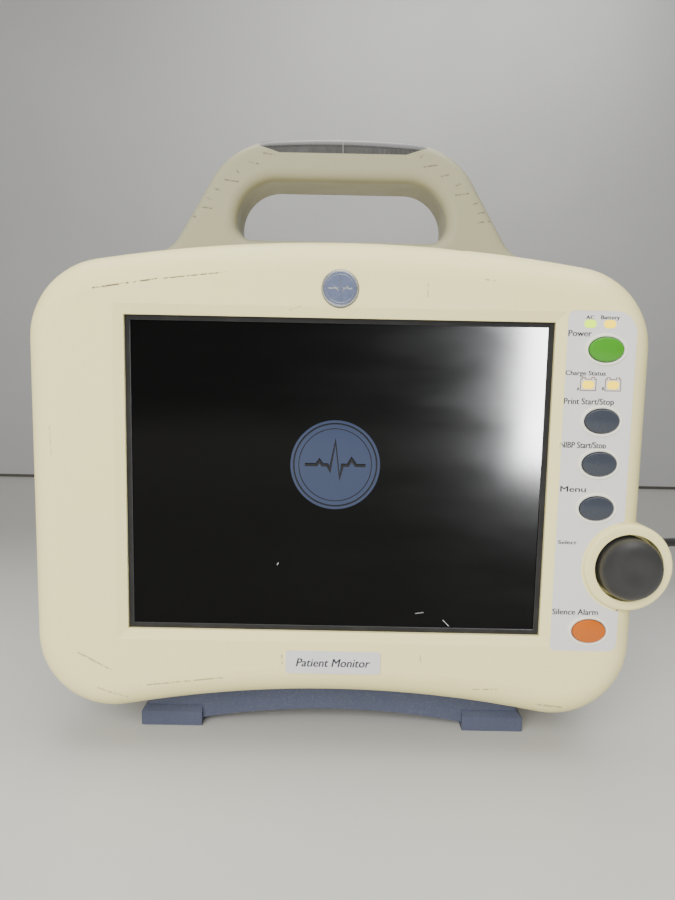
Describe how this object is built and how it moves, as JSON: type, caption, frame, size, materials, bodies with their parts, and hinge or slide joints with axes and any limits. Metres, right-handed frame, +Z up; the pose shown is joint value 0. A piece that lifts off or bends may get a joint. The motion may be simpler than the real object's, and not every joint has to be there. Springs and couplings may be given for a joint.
{
  "type": "patient monitor",
  "caption": "Portable bedside monitor with a colour display, key panel, press-and-turn knob, carrying handle, side strip printer and battery door.",
  "frame": {"origin": "bottom centre of the bounding box of the monitor without its mains lead, on the table", "axes": "+X to the right of someone facing the screen, +Y from the screen to the back, +Z up"},
  "size_m": [0.6661, 0.3136, 0.2681],
  "materials": {
    "case_front": "ivory moulded plastic, lightly scuffed",
    "case_rear": "light grey-ivory moulded plastic",
    "handle": "warm grey moulded plastic",
    "alarm_lens": "smoky translucent plastic",
    "cradle": "blue-grey plastic with fine speckle",
    "foot_rubber": "black rubber",
    "overlay": "light grey membrane",
    "badge": "slate-blue enamel with silver rim",
    "label_plate": "silver-grey label",
    "display_glass": "dark display glass",
    "black_gasket": "black gasket",
    "steel": "plated steel",
    "circuit_board": "green circuit board",
    "clear_light_pipe": "lit yellow-green light pipe",
    "knob": "charcoal moulded plastic",
    "dark_plastic": "dark moulded plastic",
    "socket_panel": "grey panel",
    "socket_green": "green socket",
    "socket_blue": "blue socket",
    "socket_red": "red socket",
    "socket_brown": "brown socket",
    "battery": "dark grey battery pack",
    "latch": "blue-grey latch",
    "platen_rubber": "black platen rubber",
    "thermal_paper": "white thermal paper",
    "black_plastic": "black moulded plastic",
    "cord_jacket": "black cord jacket",
    "key_green": "green key",
    "key_slate": "slate-grey key",
    "key_orange": "orange key"
  },
  "bodies": {
    "housing": {"alarm_lens_left": "alarm_lens", "alarm_lens_right": "alarm_lens", "alarm_light_board": "circuit_board", "aux_socket": "steel", "badge_disc": "badge", "base_cradle": "cradle", "battery_a": "battery", "battery_b": "battery", "battery_bay": "steel", "button_board": "circuit_board", "case_screws": "steel", "chassis_frame": "steel", "connector_panel": "socket_panel", "cuff_hose_socket": "steel", "cuff_pump": "dark_plastic", "display_gasket": "black_gasket", "display_window": "display_glass", "ecg_socket": "socket_green", "encoder_body": "steel", "foot_pads": "foot_rubber", "front_bezel": "case_front", "front_feet": "cradle", "handle_front_shell": "handle", "handle_rear_shell": "handle", "hinge_pins": "steel", "keypad_overlay": "overlay", "lcd_panel": "steel", "main_board": "circuit_board", "mains_coil": "cord_jacket", "mains_connector": "black_plastic", "mains_cord": "cord_jacket", "mains_inlet": "black_plastic", "mains_plug": "black_plastic", "name_plate": "label_plate", "network_socket": "black_plastic", "oximeter_socket": "socket_blue", "patient_module": "dark_plastic", "power_supply": "circuit_board", "pressure_sockets": "socket_red", "print_head": "dark_plastic", "rear_feet": "cradle", "rear_housing": "case_rear", "rear_panel": "steel", "recorder_frame": "dark_plastic", "speaker": "dark_plastic", "status_light_pipes": "clear_light_pipe", "temperature_socket": "socket_brown"},
    "power_key": {"power_button": "key_green"},
    "print_key": {"print_button": "key_slate"},
    "pressure_key": {"pressure_button": "key_slate"},
    "menu_key": {"menu_button": "key_slate"},
    "silence_key": {"silence_button": "key_orange"},
    "press_shaft": {"encoder_plunger": "steel"},
    "knob": {"select_knob": "knob", "encoder_shaft": "steel"},
    "printer_door": {"recorder_door": "case_rear"},
    "platen": {"platen_roller": "platen_rubber"},
    "latch": {"recorder_latch": "latch"},
    "roll": {"paper_roll": "thermal_paper"},
    "battery_hatch": {"battery_door": "case_rear"}
  },
  "joints": [
    {"name": "power_press", "type": "slide", "parent": "housing", "child": "power_key", "axis": [0, 1, 0], "range_m": [0, 0.0012], "stiffness_N_per_m": 600},
    {"name": "print_press", "type": "slide", "parent": "housing", "child": "print_key", "axis": [0, 1, 0], "range_m": [0, 0.0012], "stiffness_N_per_m": 600},
    {"name": "pressure_press", "type": "slide", "parent": "housing", "child": "pressure_key", "axis": [0, 1, 0], "range_m": [0, 0.0012], "stiffness_N_per_m": 600},
    {"name": "menu_press", "type": "slide", "parent": "housing", "child": "menu_key", "axis": [0, 1, 0], "range_m": [0, 0.0012], "stiffness_N_per_m": 600},
    {"name": "silence_press", "type": "slide", "parent": "housing", "child": "silence_key", "axis": [0, 1, 0], "range_m": [0, 0.0012], "stiffness_N_per_m": 600},
    {"name": "select_press", "type": "slide", "parent": "housing", "child": "press_shaft", "axis": [0, 1, 0], "range_m": [0, 0.001], "stiffness_N_per_m": 1200},
    {"name": "select_turn", "type": "hinge", "parent": "press_shaft", "child": "knob", "pos_m": [0.1157, -0.0925, 0.087], "axis": [0, 1, 0], "continuous": true},
    {"name": "printer_door_swing", "type": "hinge", "parent": "housing", "child": "printer_door", "pos_m": [0.1257, -0.0015, 0.12], "axis": [0, 1, 0], "range_deg": [0, 95]},
    {"name": "latch_slide", "type": "slide", "parent": "printer_door", "child": "latch", "axis": [0, 0, -1], "range_m": [0, 0.002], "stiffness_N_per_m": 400},
    {"name": "platen_turn", "type": "hinge", "parent": "printer_door", "child": "platen", "pos_m": [0.1108, -0.0015, 0.1785], "axis": [0, 1, 0], "continuous": true},
    {"name": "paper_roll_turn", "type": "hinge", "parent": "housing", "child": "roll", "pos_m": [0.0918, -0.0015, 0.1465], "axis": [0, 1, 0], "continuous": true},
    {"name": "battery_door_swing", "type": "hinge", "parent": "housing", "child": "battery_hatch", "pos_m": [0.1206, 0.0105, 0.0299], "axis": [0, 1, 0], "range_deg": [0, 90]}
  ],
  "couplings": [
    {"joint": "paper_roll_turn", "follows": "platen_turn", "ratio": -0.25}
  ]
}
